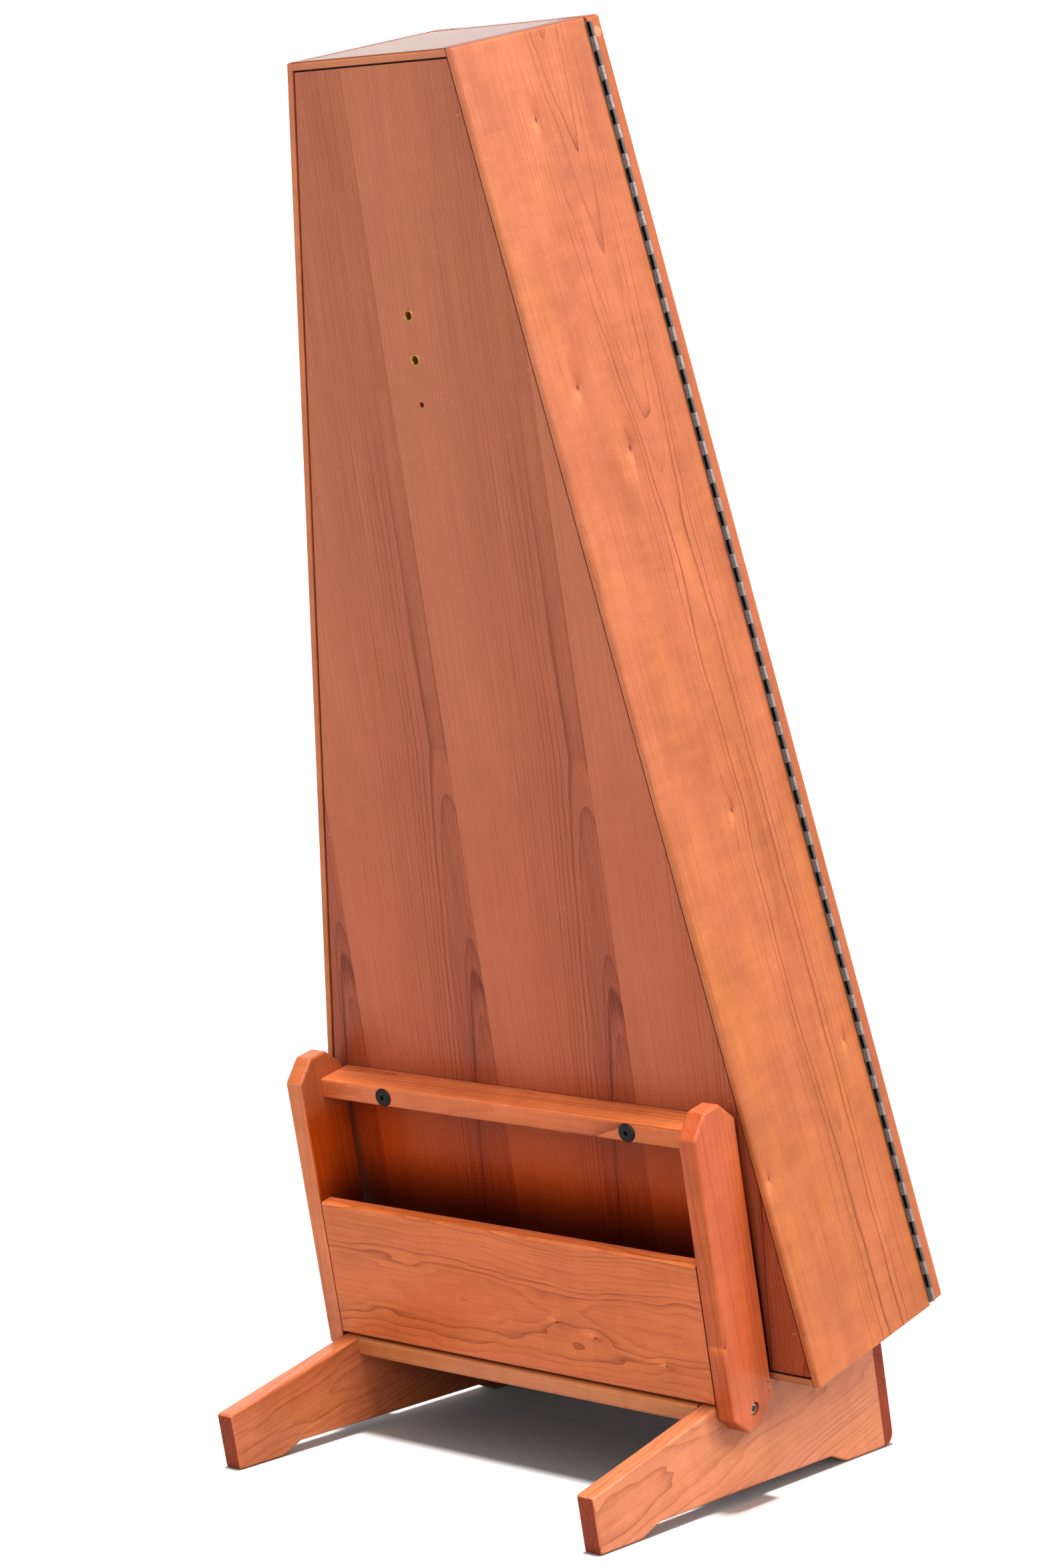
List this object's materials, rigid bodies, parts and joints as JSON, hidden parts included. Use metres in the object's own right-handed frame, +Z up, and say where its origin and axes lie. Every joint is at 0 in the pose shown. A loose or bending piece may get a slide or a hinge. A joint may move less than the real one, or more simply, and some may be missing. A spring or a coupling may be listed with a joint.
{
  "type": "photo album stand",
  "caption": "Tall tapered glazed display case leaning back on a footed floor stand, with a hinged front door and an open album pocket behind.",
  "frame": {"origin": "on the floor, at the middle of the whole object's box; the case's own middle plane is 2.1 mm towards +X, because the hinge barrel stands out on the -X side", "axes": "+Z up; the door faces -Y and the pocket and back panel +Y; +X is the viewer's right when facing the door"},
  "size_m": [0.5648, 0.4778, 1.2844],
  "materials": {
    "cherry_case": "satin oiled cherry, straight grain along the case",
    "cherry_veneer": "satin cherry veneer in slip-matched leaves",
    "cherry_stand": "satin oiled cherry",
    "cherry_door": "satin oiled cherry",
    "birch_dowel": "plain birch",
    "poplar_block": "plain, unfinished",
    "filler": "dark wood filler over a brad",
    "brass": "plain turned brass",
    "steel_hinge": "dull zinc-plated steel",
    "nickel": "plain nickel plate",
    "black_steel": "black oxide",
    "felt": "dark felt",
    "clear_glass": "clear sheet glass"
  },
  "bodies": {
    "case_and_stand": {"case_side_left": "cherry_case", "case_side_right": "cherry_case", "case_top": "cherry_case", "case_bottom": "cherry_case", "case_dowels": "birch_dowel", "back_panel": "cherry_veneer", "panel_brads": "filler", "hanger_block": "poplar_block", "threaded_inserts": "brass", "stand_cleat": "poplar_block", "cleat_inserts": "brass", "catch_magnets": "nickel", "door_bumpers": "felt", "hinge_leaf_case": "steel_hinge", "hinge_pin": "steel_hinge", "hinge_screws_case": "steel_hinge", "foot_left": "cherry_stand", "foot_right": "cherry_stand", "apron_board": "cherry_stand", "shelf_board": "cherry_stand", "foot_dowels": "birch_dowel", "upright_left": "cherry_stand", "upright_right": "cherry_stand", "upright_bolts": "black_steel", "foot_inserts": "brass", "upright_brads": "filler", "pocket_board": "cherry_stand", "pocket_dowels": "birch_dowel", "top_rail": "cherry_stand", "rail_dowels": "birch_dowel", "rail_bolts": "black_steel"},
    "door": {"door_stile_left": "cherry_door", "door_stile_right": "cherry_door", "door_rail_top": "cherry_door", "door_rail_bottom": "cherry_door", "door_dowels": "birch_dowel", "door_pane": "clear_glass", "bead_left": "cherry_door", "bead_right": "cherry_door", "bead_top": "cherry_door", "bead_bottom": "cherry_door", "door_knob": "brass", "knob_screw": "steel_hinge", "strike_plates": "nickel", "hinge_leaf_door": "steel_hinge", "hinge_screws_door": "steel_hinge"}
  },
  "joints": [
    {"name": "door_hinge", "type": "hinge", "parent": "case_and_stand", "child": "door", "pos_m": [-0.28175, -0.2001, 0.14759], "axis": [-0.1604, -0.2229, -0.9616], "range_deg": [0, 180]}
  ]
}
